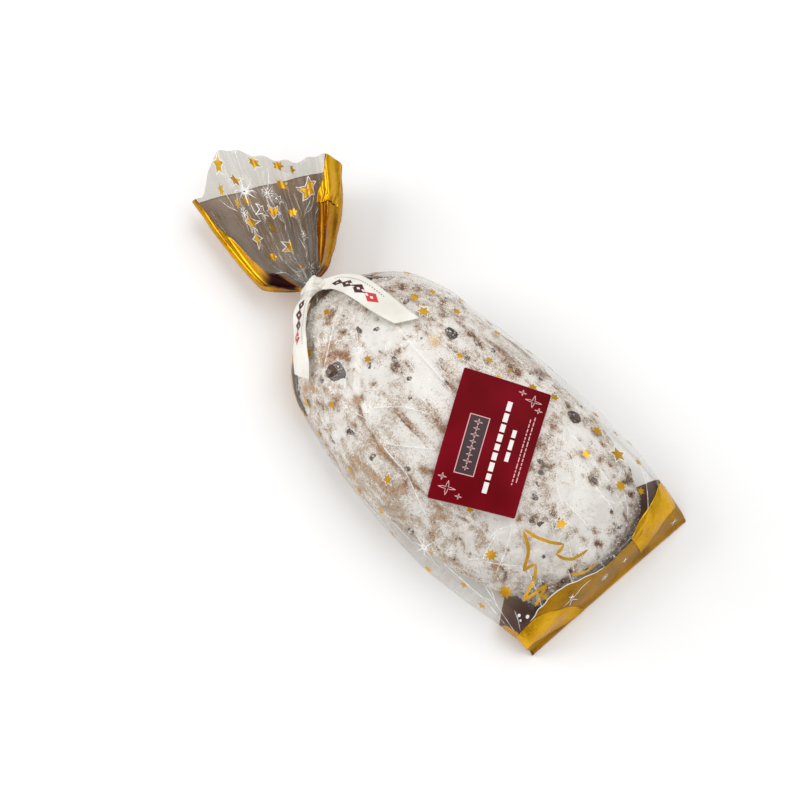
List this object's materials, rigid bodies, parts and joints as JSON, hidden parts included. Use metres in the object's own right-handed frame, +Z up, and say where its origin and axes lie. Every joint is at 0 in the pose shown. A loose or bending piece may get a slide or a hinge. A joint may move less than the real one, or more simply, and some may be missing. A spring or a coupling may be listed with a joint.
{
  "type": "stollen in a gift bag",
  "caption": "Sugar-dusted stollen lying in a clear star-printed bag with a gold back and bottom, gathered and tied with a cream ribbon, with a burgundy card on top.",
  "frame": {"origin": "on the table, under the middle of the whole footprint, mouth and tie included", "axes": "+X from the open mouth past the tie to the closed bottom end, +Z up; -Y is the side with the loaf's fold"},
  "size_m": [0.3521, 0.1451, 0.0732],
  "materials": {
    "film": "clear glossy printed film over a sugar-dusted loaf, gold on the back and bottom",
    "ribbon": "cream satin ribbon",
    "card": "satin burgundy card with a plain printed pattern"
  },
  "bodies": {
    "root": {"bag": "film", "ribbon": "ribbon", "label": "card"}
  },
  "joints": []
}
